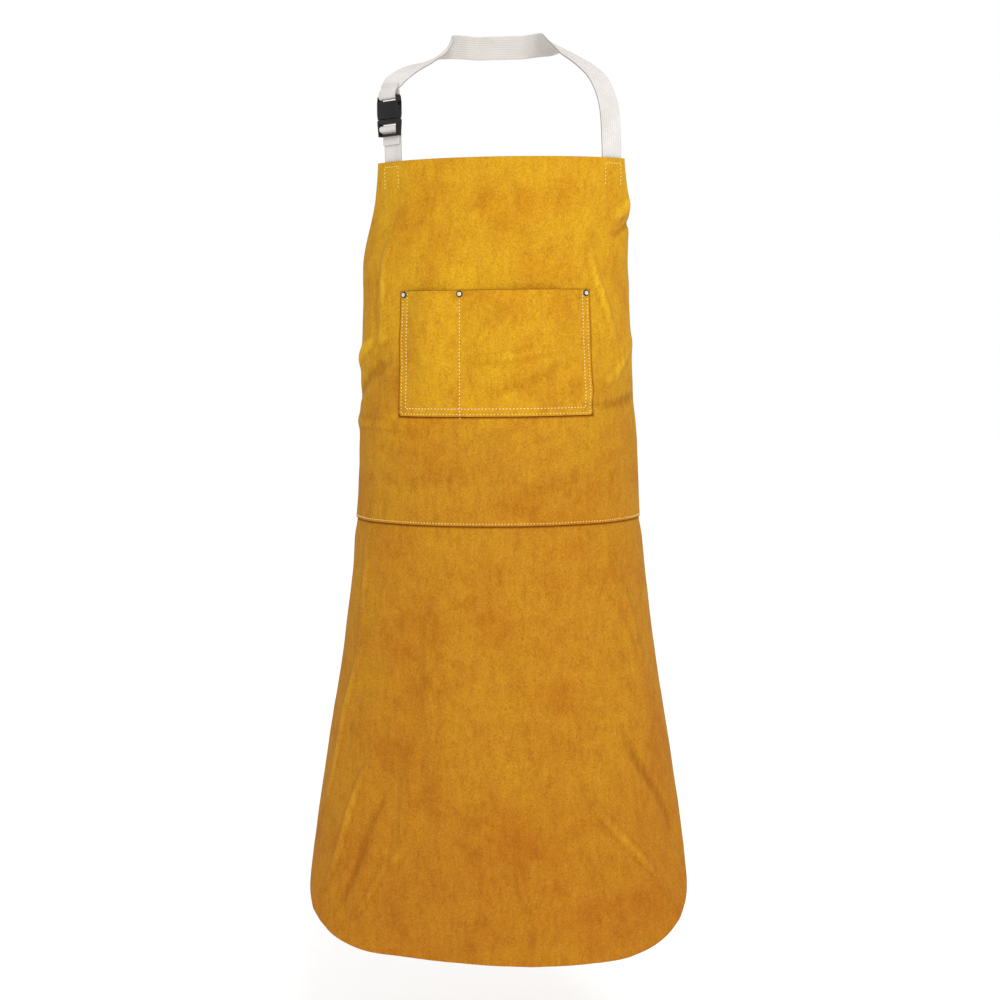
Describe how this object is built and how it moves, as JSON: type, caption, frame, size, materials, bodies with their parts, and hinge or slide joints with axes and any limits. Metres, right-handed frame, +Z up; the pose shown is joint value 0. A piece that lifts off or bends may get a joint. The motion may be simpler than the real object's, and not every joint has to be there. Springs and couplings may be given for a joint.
{
  "type": "welding apron",
  "caption": "Split leather welding apron, shown as worn: bib with two-part patch pocket, sewn-on skirt with rounded hem, webbing neck and waist straps with side-release buckles.",
  "frame": {"origin": "on the inner face of the neck strap, at the nape of the wearer's neck, where the apron hangs", "axes": "+Z up, -Y the way the wearer faces, +X to the right of someone looking at the front"},
  "size_m": [0.5254, 0.2972, 1.2533],
  "materials": {
    "leather": "suede split, napped",
    "thread": "twisted sewing thread",
    "nickel": "nickel plated, satin",
    "webbing": "woven cotton",
    "buckle_plastic": "moulded, matte"
  },
  "bodies": {
    "root": {"bib_panel": "leather", "skirt_panel": "leather", "pocket_panel": "leather", "pocket_outer_stitch": "thread", "pocket_inner_stitch": "thread", "pocket_divider_stitch": "thread", "waist_seam_stitch": "thread", "neck_strap_stitch_left": "thread", "neck_strap_stitch_right": "thread", "waist_strap_stitch_left": "thread", "waist_strap_stitch_right": "thread", "pocket_rivet_left": "nickel", "pocket_rivet_middle": "nickel", "pocket_rivet_right": "nickel", "pocket_rivet_back_left": "nickel", "pocket_rivet_back_middle": "nickel", "pocket_rivet_back_right": "nickel", "neck_strap_short": "webbing", "neck_strap_long": "webbing", "waist_strap_left": "webbing", "waist_strap_right": "webbing", "neck_buckle_socket": "buckle_plastic", "waist_buckle_socket": "buckle_plastic"},
    "neck_plug": {"neck_buckle_plug": "buckle_plastic"},
    "neck_prong_left": {"neck_prong_left": "buckle_plastic"},
    "neck_prong_right": {"neck_prong_right": "buckle_plastic"},
    "waist_plug": {"waist_buckle_plug": "buckle_plastic"},
    "waist_prong_left": {"waist_prong_left": "buckle_plastic"},
    "waist_prong_right": {"waist_prong_right": "buckle_plastic"}
  },
  "joints": [
    {"name": "neck_buckle_slide", "type": "slide", "parent": "root", "child": "neck_plug", "axis": [0, 0, -1], "range_m": [0, 0.022], "deforming": ["neck_strap_short", "neck_prong_left", "neck_prong_right"]},
    {"name": "neck_prong_left_squeeze", "type": "hinge", "parent": "neck_plug", "child": "neck_prong_left", "pos_m": [-0.139, -0.16112, -0.113], "axis": [0.619, 0.7854, 0], "range_deg": [0, 12], "stiffness_Nm_per_rad": 0.05},
    {"name": "neck_prong_right_squeeze", "type": "hinge", "parent": "neck_plug", "child": "neck_prong_right", "pos_m": [-0.12329, -0.1735, -0.113], "axis": [-0.619, -0.7854, 0], "range_deg": [0, 12], "stiffness_Nm_per_rad": 0.05},
    {"name": "waist_buckle_slide", "type": "slide", "parent": "root", "child": "waist_plug", "axis": [1, 0, 0], "range_m": [0, 0.03], "deforming": ["waist_strap_right", "waist_prong_left", "waist_prong_right"]},
    {"name": "waist_prong_left_squeeze", "type": "hinge", "parent": "waist_plug", "child": "waist_prong_left", "pos_m": [-0.002, 0.04296, -0.46], "axis": [0, -1, 0], "range_deg": [0, 12], "stiffness_Nm_per_rad": 0.05},
    {"name": "waist_prong_right_squeeze", "type": "hinge", "parent": "waist_plug", "child": "waist_prong_right", "pos_m": [-0.002, 0.04296, -0.48], "axis": [0, 1, 0], "range_deg": [0, 12], "stiffness_Nm_per_rad": 0.05}
  ]
}
